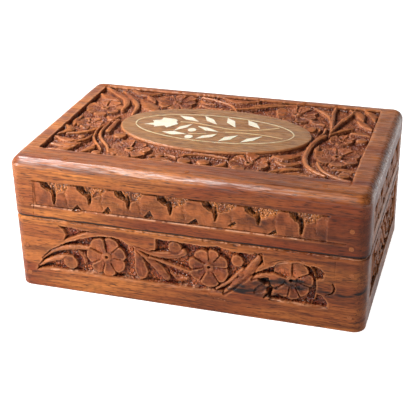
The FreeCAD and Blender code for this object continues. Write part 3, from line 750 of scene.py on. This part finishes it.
def carve_front_base(c):
    """The front has a blue-black streak in its wood, painted shade toward its right corner, and pale worn
    edges that are also painted highlights.
    """
    carve_long_base(c)
    c.stain([(19, 12, 1), (27, 14, 2.8), (36, 16.6, 3), (46, 18.2, 2.8), (56, 17.4, 1.9), (63, 15.8, 1.5),
             (70, 17, 1.4), (77, 20, 1.2)], 1.0)
    c.stain([(22, 11.4, 1.0), (31, 11.4, 1.4), (41, 12.6, 1.2)], 0.8)
    c.stain([(48, 14, 2), (52, 12.6, 2), (56, 12, 1)], 0.35)
    c.stain([(62, 5.4, .4), (68, 4.2, .7), (77, 6, .6)], 0.8)
    # painted shade: a broad darkening toward the right corner
    c.stain([(64, 22, 10), (84, 20, 12)], 0.32)
    # pale lines along edges that face the light: worn edges and painted highlights
    for spine in [
        [(-60.6, 18.1, .2), (-52, 23.4, .3), (-45, 26.2, .3), (-38, 28.4, .3), (-31, 29.2, .2)],
        [(30.4, 20.6, .2), (36, 24.6, .4), (42, 27.4, .4), (51, 29.4, .2)],
        [(-60, 9.3, .4), (-48, 9.8, .4), (-28, 10.0, .5), (-8, 10.2, .4), (16, 10.2, .4)],
        [(36, 9.8, .3), (60, 9.6, .3)],
        [(14, 7.0, .2), (22, 5.6, .3), (31, 5.2, .2)],
        [(-9, 30.9, .3), (8, 30.5, .3), (20, 30.2, .2)],
    ]:
        c.paint_worn_edge_and_highlight([(u, v, 0.7 * w) for u, v, w in spine], 0.65)


def carve_end_base(c):
    """The base's ends: two flowers with leaves round them."""
    c.sink([(-36, 9.8), (0, 9.5), (36, 9.9), (36.2, 20), (35.8, 30.6), (0, 30.8), (-36, 30.5)], slope=0.7)
    blades = [
        [(-35, 27.5, .5), (-22, 28.6, 1.4), (-10, 26.6, 1.5), (-1.5, 20.6, 1.2), (8, 11, .5)],
        [(-6, 29.8, .5), (1.5, 24, .9), (5.6, 19.6, 1.0), (12, 12.8, .9), (20, 10.4, .5)],
        [(-34.6, 12, .5), (-28.6, 16.4, 2.0), (-25, 22.4, .6)],
        [(-34.8, 22, .5), (-31, 22.8, 1.4), (-27, 25.2, .5)],
        [(27.6, 10.8, .5), (31.4, 14, 1.8), (34.6, 19.4, .5)],
        [(3, 28.6, .5), (9, 28.8, 1.2), (16, 29.4, .5)],
        [(-8.5, 10.8, .4), (-3, 12, 1.5), (2.5, 11, .4)],
        [(22, 29.6, .5), (29, 28.8, 1.3), (35, 29.6, .4)],
    ]
    for spine in blades:
        c.blade(spine, -0.7, -0.1, vein=0.2)
    for u, v, r in [(32.2, 24.6, 2.4), (-31, 12, 1.8), (7.4, 24.2, 1.9), (-2.6, 15.6, 1.8)]:
        c.bud(u, v, r)
    c.flower(-13.5, 17.4, 8.8, [-160, -112, -64, -8, 40, 96, 148])
    c.flower(20, 20.2, 8.6, [-150, -100, -55, 0, 50, 100, 155])


def carve_domes(c, pockets, notches, half):
    """The lid's frieze: domes parted by punched pockets that narrow to slots, over a row of chip cuts.
    A pocket is (left, right, slot, foot, top), and a notch is its top point and the two ends of its base."""
    first, last = max(-half, pockets[0][0] - 2.5), min(half, pockets[-1][1] + 3)
    c.sink([(first, 39.3), (last, 39.1), (last, 52), (first, 52)], depth=0.28, floor=0.3)
    for left, right, slot, foot, top in pockets:
        c.sink([(left, top), (right + 0.8, top), (right + 0.4, 50.0), (right - 1.4, 47.8),
                (slot + 3.2, 46.6), (slot + 1.3, 45.8), (slot + 0.5, foot), (slot - 0.5, foot),
                (slot - 1.0, 45.8), (slot - 2.2, 46.8), (left + 2.2, 47.4), (left + 0.8, 48.4)],
               slope=0.4, rise=0.45)
        c.cut([(left + 1.5, top, 1.7), (left + 2.8, 48.6, 1.3), (slot - 2.0, 47.2, .9)], 1.4)
        c.cut([(slot - 0.4, 47.4, 1.1), (slot, 45, .8), (slot, foot, .5)], 1.2)
        c.cut([(right - 1.3, 48.6, .5), (right - 1.6, 45, 1.4), (right - 1.2, 41.4, .4)], 0.25)
        # painted shadow: the dark left corner of each pocket, and its slot
        c.stain([(left + 1.4, top - 0.6, 1.6), (left + 2.8, 48.8, 1.2), (slot - 1.6, 47.2, .8)], 0.8)
        c.stain([(slot - 0.2, 46.8, .9), (slot, 44.6, .6), (slot, foot + 0.6, .5)], 0.9)
    for apex, a, b in notches:
        u, v = (a[0] + b[0]) / 2, (a[1] + b[1]) / 2
        c.notch([(apex[0], apex[1] + 0.3), (a[0] - 0.5, a[1]), (u, v - 1.1), (b[0] + 0.5, b[1] - 0.2)])
        # painted shade on each chip cut
        c.stain([(apex[0], apex[1] - 0.3, 0.5), (u + 0.3, v + 0.8, 1.2)], 0.7)
    c.cut([(-half, 39.4, .5), (half, 39.3, .5)], 0.5, lean=0.5)
    # a pale line along the groove's lower lip: worn edge and painted highlight
    c.paint_worn_edge_and_highlight([(-half, 39.2, .25), (half, 39.1, .25)], 0.85)
    c.cut([(first, 51.1, 1.1), (last, 51.1, 1.1)], 1.1)
    # painted shadow along the frieze's top, under the lid panel
    c.stain([(first, 51.5, 1.6), (last, 51.5, 1.6)], 1.1)


def carve_long_lid(c):
    """The lid's front and back: seven domes, with the joiner's scratched lines at the right."""
    pockets = [(-61.6, -48.4, -55.5, 41.2, 51.6), (-45.4, -32.6, -39.6, 42.8, 51.6),
               (-28.8, -16.2, -22.6, 43, 51.8), (-10.6, 2.6, -4.7, 42.8, 51.6), (8.2, 22.2, 14, 42.6, 51.6),
               (25.4, 39.8, 31.6, 43.4, 51.6), (43.4, 55.8, 48.6, 41.2, 51.2)]
    notches = [((-45, 41.9), (-47.3, 38.9), (-43.2, 39.3)), ((-31.4, 42.7), (-33.8, 39.4), (-30.5, 40.5)),
               ((-13.4, 43.1), (-15.8, 39.9), (-12, 40.2)), ((6, 42.3), (3, 39.6), (6.8, 40.2)),
               ((22, 43.1), (19.4, 40.9), (22.4, 42)), ((38.5, 41.8), (35.8, 39.4), (38.6, 40.4))]
    carve_domes(c, pockets, notches, 66)
    c.sink([(57, 49.6), (59.4, 49.4), (59.6, 48.8), (57.4, 48.6)], depth=0.5, floor=0)
    c.cut([(-64.2, 50.9, .2), (-64.6, 42, .2), (-65.2, 35, .1)], 0.3)


def carve_front_lid(c):
    """The front, with dark streaks in its wood and painted shade toward its right corner."""
    carve_long_lid(c)
    c.stain([(27, 46.6, 1.2), (32, 43.6, 2.0), (36, 45.4, 1.4)], 0.5)
    c.stain([(61, 49, 1.4), (65, 47.6, 1.8)], 0.5)
    # painted shade: a broad darkening toward the right corner
    c.stain([(62, 43, 8), (84, 42, 9)], 0.3)


def carve_end_lid(c):
    slots = [-29.0, -14.0, 1.0, 16.0, 31.0]
    carve_domes(c, [(x - 5.2, min(x + 5.4, 36), x, 42.6, 51.6) for x in slots],
                [((x + 7.6, 42.4), (x + 5.4, 39.4), (x + 9, 40)) for x in slots[:-1]], 35.5)


# ---------------- materials

class Nodes:
    """The node tree of a new material or world, with short ways to add and join nodes. Sizes are in mm."""

    def __init__(self, owner):
        owner.use_nodes = True
        self.owner = owner
        self.tree = owner.node_tree

    def add(self, kind, inputs=None, **settings):
        node = self.tree.nodes.new("ShaderNode" + kind)
        for key, value in settings.items():
            setattr(node, key, value)
        for key, value in (inputs or {}).items():
            self.put(node.inputs[key], value)
        return node

    def put(self, socket, value):
        if isinstance(value, bpy.types.NodeSocket):
            self.tree.links.new(value, socket)
        else:
            socket.default_value = value

    def math(self, operation, a, b):
        return self.add("Math", {0: a, 1: b}, operation=operation).outputs[0]

    def mix(self, share, a, b):
        return self.add("Mix", {0: share, 6: a, 7: b}, data_type="RGBA").outputs[2]

    def range(self, value, low, high, to_low=0.0, to_high=1.0):
        return self.add("MapRange", {0: value, 1: low, 2: high, 3: to_low, 4: to_high}).outputs[0]

    def place(self, sizes, shift=(0, 0, 0)):
        """The object's own place, shifted and then counted in these sizes."""
        at = self.add("TexCoord").outputs["Object"]
        moved = self.add("VectorMath", {0: at, 1: [s * MM for s in shift]}, operation="ADD").outputs[0]
        scale = [1 / s / MM for s in sizes]
        return self.add("VectorMath", {0: moved, 1: scale}, operation="MULTIPLY").outputs[0]

    def noise(self, sizes, shift=(0, 0, 0), detail=2, distortion=0.0):
        """Noise with one size, or with a size along each axis."""
        sizes = sizes if isinstance(sizes, (tuple, list)) else [sizes] * 3
        return self.add("TexNoise", {"Vector": self.place(sizes, shift), "Scale": 1.0, "Detail": detail,
                                     "Distortion": distortion}).outputs["Fac"]

    def bump(self, height, distance, strength, under=None):
        node = self.add("Bump", {"Strength": strength, "Distance": distance * MM, "Height": height})
        if under is not None:
            self.put(node.inputs["Normal"], under)
        return node.outputs[0]

    def set(self, shader="Principled BSDF", **values):
        """Fill the shader's sockets and return the material or world."""
        for key, value in values.items():
            self.put(self.tree.nodes[shader].inputs[key.replace("_", " ")], value)
        return self.owner


def material(name):
    return Nodes(bpy.data.materials.new(name))


def rgb(r, g, b):
    """A colour given as it looks on a screen, from 0 to 255."""
    def linear(c):
        c /= 255
        return c / 12.92 if c <= 0.04045 else ((c + 0.055) / 1.055) ** 2.4
    return (linear(r), linear(g), linear(b), 1)


class Sheesham(Nodes):
    """Oiled wood with its grain along one axis. The seed moves each board to its own part of the log."""

    def __init__(self, name, along, seed):
        super().__init__(bpy.data.materials.new(name))
        self.lengthwise = "XY".index(along)
        self.seed = seed
        self.at = self.add("SeparateXYZ", {0: self.place((1, 1, 1))}).outputs
        self.figure = self.grain(11, 85, 1, detail=3, distortion=0.6)
        self.streak = self.grain(2.6, 60, 2, detail=4, distortion=0.3)
        self.fine = self.grain(0.42, 14, 3, detail=2)
        self.pores = self.grain(0.3, 3.6, 4, detail=1)
        self.fleck = self.grain(0.9, 11, 5, detail=3)
        self.recess, self.ridge, self.stain = [self.add("Attribute", attribute_name=kept).outputs["Fac"]
                                               for kept in ("recess", "ridge", "stain")]
        marks = self.add("TexVoronoi", {"Vector": self.place((0.85, 0.85, 1.2)), "Scale": 1.0})
        self.punched = self.math("MULTIPLY", marks.outputs["Distance"], self.range(self.recess, 0.45, 0.7))
        self.colour = self.mix(self.range(self.figure, 0.36, 0.64), rgb(168, 101, 47), rgb(110, 51, 24))

    def grain(self, across, length, part, **more):
        sizes = [across] * 3
        sizes[self.lengthwise] = length
        return self.noise(sizes, [self.seed * a + part * b for a, b in ((37, 11), (53, 7), (29, 5))], **more)

    def over(self, value, low, high, share, colour):
        """Lay a colour over the wood, from none of it where value is low to this share where it is high."""
        self.colour = self.mix(self.range(value, low, high, 0, share), self.colour, rgb(*colour))

    def redden(self, reddening):
        """Turn redder and darker toward the right, by up to this share, but less on top of the lid."""
        turn = self.math("ADD", self.at[0], self.range(self.figure, 0.3, 0.7, -22, 22))
        below_top = self.range(self.at[2], TOP_Z - 2, TOP_Z - 3.5, 0.35, 1)
        share = self.math("MULTIPLY", self.range(turn, -60, 45, 0, reddening), below_top)
        self.colour = self.mix(share, self.colour, rgb(92, 29, 9))

    def bleach_oval(self):
        """Paler wood with less dark streaks in the flat oval."""
        middle_u, middle_v, radius_u, radius_v = OVAL
        across = self.math("DIVIDE", self.math("SUBTRACT", self.at[0], middle_u), radius_u)
        up = self.math("DIVIDE", self.math("SUBTRACT", self.at[1], middle_v), radius_v)
        out = self.math("ADD", self.math("MULTIPLY", across, across), self.math("MULTIPLY", up, up))
        oval = self.range(out, 1.05, 0.97)
        self.colour = self.mix(oval, self.colour, rgb(136, 96, 57))
        self.streak = self.math("SUBTRACT", self.streak, self.math("MULTIPLY", oval, 0.12))

    def lay_grain(self):
        """Dark mottling, streaks, flecks, fine lines and pores."""
        mottle = self.noise(3.2, (self.seed * 7, 3, 5), detail=4)
        self.over(mottle, 0.4, 0.7, 0.35, (96, 46, 20))
        self.over(self.streak, 0.52, 0.7, 0.7, (64, 27, 14))
        self.over(self.fleck, 0.52, 0.7, 0.5, (75, 29, 13))
        self.over(self.fine, 0.45, 0.72, 0.5, (55, 23, 12))
        self.over(self.pores, 0.56, 0.68, 0.75, (26, 11, 7))

    def darken_carving(self, worked_share, punched_share, ground):
        """Darker worked wood, a darker punched ground between its two colours, painted shade in crevices,
        pale edges that are worn and painted highlight, then the marks: dark stains and painted shadows, pale
        worn edges and painted highlights.
        """
        blotch = self.noise(5, (self.seed * 13, 4, 8), detail=3)
        worked = self.mix(self.range(blotch, 0.4, 0.62), rgb(72, 35, 20), rgb(132, 70, 38))
        bottom = self.mix(self.range(blotch, 0.4, 0.6), rgb(*ground[0]), rgb(*ground[1]))
        self.colour = self.mix(self.range(self.recess, 0.06, 0.3, 0, worked_share), self.colour, worked)
        # the deep ground is darker, partly as stain gathered in it and partly as painted shade
        self.colour = self.mix(self.range(self.recess, 0.5, 0.75, 0, 0.85), self.colour, bottom)
        self.over(self.punched, 0.4, 0.7, punched_share, (40, 15, 7))
        # painted shade at the foot of walls and in crevices
        self.over(self.ridge, -0.5, -1.5, 0.6, (22, 8, 6))
        # pale edges where the face stands above its surroundings: worn edges and painted highlight
        self.over(self.ridge, 0.15, 0.8, 0.4, (162, 103, 64))
        # pale marks below 0: worn edges and painted highlights
        self.over(self.stain, -0.1, -0.9, 0.8, (199, 145, 112))
        # dark marks: stains in the wood, and painted shadow in the frieze, at the seam and toward the right
        # corners
        self.colour = self.mix(self.stain, self.colour, rgb(22, 14, 13))

    def varnish(self, coat, coat_roughness, gloss, fleck_height):
        """Roughness and bumps, and the varnish over them."""
        lines_height = self.math("SUBTRACT", self.math("MULTIPLY", self.fine, 0.35),
                                 self.range(self.pores, 0.58, 0.72))
        normal = self.bump(lines_height, 0.05, 0.6)
        normal = self.bump(self.noise(1.4, (7, 3, 1), detail=2), 0.12, 0.2, normal)
        normal = self.bump(self.fleck, fleck_height, 0.6, normal)
        normal = self.bump(self.punched, -0.6, 1.0, normal)
        roughness = self.range(self.noise(3, (2, 5, 9), detail=4), 0.3, 0.7, 0.3, 0.46)
        roughness = self.math("ADD", roughness, self.math("MULTIPLY", self.pores, 0.12))
        roughness = self.math("SUBTRACT", roughness, self.range(self.recess, 0.45, 0.7, 0, 0.12))
        return self.set(Base_Color=self.colour, Roughness=roughness, Normal=normal, Coat_Normal=normal,
                        Specular_IOR_Level=gloss, Coat_Weight=coat, Coat_Roughness=coat_roughness)


def wall_wood(name, along, seed, coat, reddening, ground):
    """A wall's wood, with a thin coat of varnish that gathers in the carving."""
    w = Sheesham(name, along, seed)
    if reddening > 0:
        w.redden(reddening)
    w.lay_grain()
    w.darken_carving(0.58, 0.7, ground)
    return w.varnish(w.range(w.recess, 0.45, 0.75, coat, 0.35), 0.2, gloss=0.1, fleck_height=0.14)


def panel_wood():
    """The lid panel's wood, with glossy varnish that is worn off in streaks, in the carving and low down."""
    w = Sheesham("sheesham_panel", "X", 9)
    w.redden(0.65)
    w.bleach_oval()
    w.lay_grain()
    w.darken_carving(0.45, 0.25, ((92, 42, 27), (130, 74, 47)))
    uncarved = w.range(w.recess, 0.04, 0.15, 1.0, 0.3)
    high_up = w.range(w.at[2], TOP_Z - 4.5, TOP_Z - 2.8, 0.1, 1)
    between_streaks = w.range(w.grain(0.6, 9, 6, detail=3), 0.44, 0.58, 1, 0.15)
    coat = w.math("MULTIPLY", w.math("MULTIPLY", uncarved, high_up), between_streaks)
    return w.varnish(coat, 0.29, gloss=0.12, fleck_height=0.2)


def bone(name, light, dark):
    n = material(name)
    cloud = n.noise(4, (3, 1, 2), detail=4)
    fibre = n.noise((0.35, 3.0, 0.35), (1, 8, 2), detail=2)
    colour = n.mix(n.range(cloud, 0.3, 0.7), rgb(*light), rgb(*dark))
    colour = n.mix(n.range(fibre, 0.6, 0.75, 0, 0.4), colour, rgb(176, 150, 112))
    rough = n.range(cloud, 0.3, 0.7, 0.34, 0.5)
    return n.set(Base_Color=colour, Roughness=rough, Normal=n.bump(fibre, 0.03, 0.5),
                 Subsurface_Weight=0.15, Subsurface_Scale=0.8 * MM)


def brass(name, bright, stained):
    n = material(name)
    stain = n.noise(2.2, (4, 4, 1), detail=5)
    scratch = n.noise((6, 0.12, 0.12), (4, 2, 1), detail=2)
    colour = n.mix(n.range(stain, 0.42, 0.7), rgb(*bright), rgb(*stained))
    rough = n.math("ADD", n.range(stain, 0.35, 0.7, 0.24, 0.5), n.math("MULTIPLY", scratch, 0.1))
    return n.set(Base_Color=colour, Metallic=0.95, Roughness=rough, Normal=n.bump(scratch, 0.02, 0.4))


def steel():
    n = material("nail_steel")
    rust = n.noise(0.8, (1, 1, 1), detail=5)
    colour = n.mix(n.range(rust, 0.5, 0.7), rgb(150, 148, 144), rgb(96, 66, 50))
    rough = n.range(rust, 0.3, 0.7, 0.3, 0.6)
    return n.set(Base_Color=colour, Metallic=0.9, Roughness=rough, Normal=n.bump(rust, 0.03, 0.4))


def peg_wood():
    n = material("peg_wood")
    ends = n.noise(0.35, (2, 7, 3), detail=3)
    colour = n.mix(n.range(ends, 0.4, 0.66), rgb(132, 76, 42), rgb(98, 52, 28))
    rough = n.range(ends, 0.3, 0.7, 0.45, 0.62)
    return n.set(Base_Color=colour, Roughness=rough, Normal=n.bump(ends, 0.05, 0.5), Specular_IOR_Level=0.1)


def plywood():
    n = material("plywood")
    figure = n.noise((70, 4, 4), (2, 7, 3), detail=4, distortion=0.4)
    pores = n.noise((4, 0.4, 0.4), (5, 7, 3), detail=2)
    colour = n.mix(n.range(figure, 0.35, 0.65), rgb(206, 172, 128), rgb(172, 132, 90))
    colour = n.mix(n.range(pores, 0.58, 0.72, 0, 0.5), colour, rgb(122, 86, 56))
    rough = n.range(figure, 0.3, 0.7, 0.55, 0.7)
    return n.set(Base_Color=colour, Roughness=rough, Normal=n.bump(pores, 0.06, 0.5))


def velvet():
    n = material("maroon_velvet")
    nap = n.noise(7, (2, 3, 4), detail=3)
    fluff = n.noise(0.25, (2, 3, 4), detail=2)
    colour = n.mix(n.range(nap, 0.35, 0.65), rgb(92, 13, 24), rgb(76, 9, 20))
    colour = n.mix(n.range(fluff, 0.5, 0.8, 0, 0.5), colour, rgb(128, 34, 44))
    rough = n.range(fluff, 0.3, 0.7, 0.85, 1.0)
    return n.set(Base_Color=colour, Roughness=rough, Normal=n.bump(fluff, 0.12, 0.6),
                 Sheen_Weight=0.8, Sheen_Roughness=0.35, Sheen_Tint=rgb(214, 120, 130))


# ---------------- building the box

def give_look(mesh, look):
    mesh.materials.clear()
    mesh.materials.append(look)


def finish_piece(piece, node, look):
    give_look(piece.data, look)
    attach(piece, "lid" if piece.name.startswith("lid") else "base")
    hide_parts(node)


def dress(nodes, look):
    """Give CAD nodes their material."""
    for name in nodes:
        give_look(frame["nodes"][name].data, look)


def build_walls():
    """The eight walls. The pockets of the lid's front have a paler ground than the others."""
    halves = (("base", 0.0, SEAM_Z, (0.5, 0.9), carve_front_base, carve_long_base, carve_end_base),
              ("lid", SEAM_Z, LID_WALL_TOP, (0.6, 0.1), carve_front_lid, carve_long_lid, carve_end_lid))
    reddening_by_wall = {"lid_front": 0.85, "base_front": 0.45}
    grounds = {"lid_front": ((118, 58, 26), (184, 112, 56))}
    plain_ground = ((114, 42, 22), (158, 81, 42))
    seed = 0
    for half, low, high, radii, front, back, end in halves:
        for side, carve in (("front", front), ("back", back), ("right", end), ("left", end)):
            seed += 1
            name = f"{half}_{side}"
            long_side = side in ("front", "back")
            piece = wall(name + "_board", carve, long_side, side in ("back", "left"), low, high, seed, radii)
            if side == "back":
                cut_hinge_seats(piece, [f"hinge_{hand}_{half}_leaf" for hand in ("left", "right")])
            look = wall_wood("sheesham_" + name, "X" if long_side else "Y", seed, 0.05 if long_side else 0.0,
                             reddening_by_wall.get(name, 0.0), grounds.get(name, plain_ground))
            finish_piece(piece, name + "_wall", look)


def pad(name, node, axis, sign, look):
    """A card pad covered in velvet. Its soft face looks along the axis, in the direction of sign."""
    low, high = box_mm(node)
    across, up = [k for k in range(3) if k != axis]
    edge_run, edge_radius, card = 1.6, 1.1, 0.15
    u_lines = lines(low[across], high[across], low[across] + edge_run, high[across] - edge_run, 1.6, 0.2)
    v_lines = lines(low[up], high[up], low[up] + edge_run, high[up] - edge_run, 1.6, 0.2)
    u, v = np.meshgrid(u_lines, v_lines, indexing="ij")
    edge = np.minimum(np.minimum(u - low[across], high[across] - u), np.minimum(v - low[up], high[up] - v))
    rounding = np.sqrt(np.clip(1 - (1 - np.clip(edge / edge_radius, 0, 1)) ** 2, 0, 1))
    swell = 0.9 + 0.07 * noise(u, v, 9, 9, 3) + 0.03 * noise(u, v, 3, 3, 4)
    rise = card + (high[axis] - low[axis] - card) * rounding * swell
    back = low[axis] if sign > 0 else high[axis]

    def point(a, b, h):
        p = np.zeros(np.shape(a) + (3,))
        p[..., across], p[..., up], p[..., axis] = a, b, back + sign * h
        return p
    inner = [[tuple(point(a, b, 0.0)) for b in (low[up], high[up])] for a in (high[across], low[across])]
    piece = new_object(name, closed_board(name, point(u, v, rise), inner))
    finish_piece(piece, node, look)


def build_linings():
    cloth = velvet()
    for half in ("base", "lid"):
        for side, axis, sign in (("front", 1, 1), ("back", 1, -1), ("left", 0, 1), ("right", 0, -1)):
            pad(f"{half}_{side}_pad", f"{half}_{side}_lining", axis, sign, cloth)
    pad("base_floor_pad", "base_floor_lining", 2, 1, cloth)
    pad("lid_ceiling_pad", "lid_ceiling_lining", 2, -1, cloth)


def build_fittings():
    names = list(frame["nodes"])
    dress([n for n in names if n.startswith("inlay")], bone("camel_bone", (188, 182, 166), (172, 164, 144)))
    dress(["inlay_oval_line"], bone("bone_line", (182, 170, 142), (146, 126, 94)))
    dress([n for n in names if n.startswith("inlay") and n.endswith("stem")],
          bone("yellowed_bone", (170, 146, 110), (148, 120, 84)))
    dress([n for n in names if n.startswith("hinge")], brass("aged_brass", (206, 168, 92), (128, 92, 48)))
    dress([n for n in names if n.endswith("screws")], brass("screw_brass", (150, 112, 56), (84, 58, 32)))
    dress([n for n in names if n.endswith("pegs")], peg_wood())
    dress(["base_bottom_nails"], steel())
    dress(["base_bottom_panel"], plywood())


# ---------------- camera, floor and light

def camera():
    """The photo's camera, fitted to the box's outline."""
    data = bpy.data.cameras.new("camera")
    data.lens = 85.6
    data.sensor_width = 36
    data.clip_start = 0.01
    turn, height, roll = [math.radians(degrees) for degrees in (17.67, 26.98, -1.25)]
    target, distance = Vector((-2.73, -3.69, 24.46)), 439.5
    piece = linked("camera", data)
    piece.matrix_world = (
        Matrix.Translation(target * MM) @ Matrix.Rotation(turn, 4, "Z")
        @ Matrix.Rotation(math.pi / 2 - height, 4, "X") @ Matrix.Rotation(roll, 4, "Z")
        @ Matrix.Translation((0, 0, distance * MM)))
    bpy.context.scene.camera = piece


def softbox(name, place, target, size, power):
    """A rectangular light at a place, turned to a target, all in mm. power is in watts."""
    data = bpy.data.lights.new(name, "AREA")
    data.shape, data.size, data.size_y = "RECTANGLE", size[0] * MM, size[1] * MM
    data.energy = power
    back = (Vector(place) - Vector(target)).normalized()
    turn = back.to_track_quat("Z", "Y").to_matrix().to_4x4()
    linked(name, data).matrix_world = Matrix.Translation(Vector(place) * MM) @ turn


def floor():
    """A wide white floor that glows, so that it comes out as the photo's white background."""
    half = 3000
    corners = [(-half, -half, 0), (half, -half, 0), (half, half, 0), (-half, half, 0)]
    mesh = mesh_of("floor", corners, [(0, 1, 2, 3)])
    n = material("white_floor")
    shade = n.mix(n.range(n.noise(300, detail=1), 0.3, 0.7), (0.4, 0.4, 0.4, 1), (0.43, 0.43, 0.43, 1))
    mesh.materials.append(n.set(Base_Color=shade, Roughness=0.9, Emission_Color=(1, 1, 1, 1),
                                Emission_Strength=1.0))
    linked("floor", mesh)


def world():
    """White: full strength up to a little above the horizon, and dim higher up."""
    n = Nodes(bpy.data.worlds.new("studio"))
    up = n.add("SeparateXYZ", {0: n.add("TexCoord").outputs["Generated"]}).outputs["Z"]
    glow = n.range(up, 0.12, 0.18, 1.0, 0.12)
    bpy.context.scene.world = n.set("Background", Color=(1, 1, 1, 1), Strength=glow)


def light():
    softbox("upper_left", (-235, 10, 330), (-10, 0, 55), (80, 80), 2.2)
    softbox("front_left", (-230, -192, 110), (-25, -48, 30), (60, 60), 0.98)
    softbox("overhead", (-265, -340, 600), (-60, -45, 58), (330, 110), 4.5)
    softbox("behind", (-230, 850, 430), (0, 0, 60), (800, 420), 0.42)
    bpy.context.scene.view_settings.view_transform = "Standard"


build_walls()
finish_piece(lid_panel(), "lid_top_panel", panel_wood())
build_linings()
build_fittings()
camera()
floor()
world()
light()
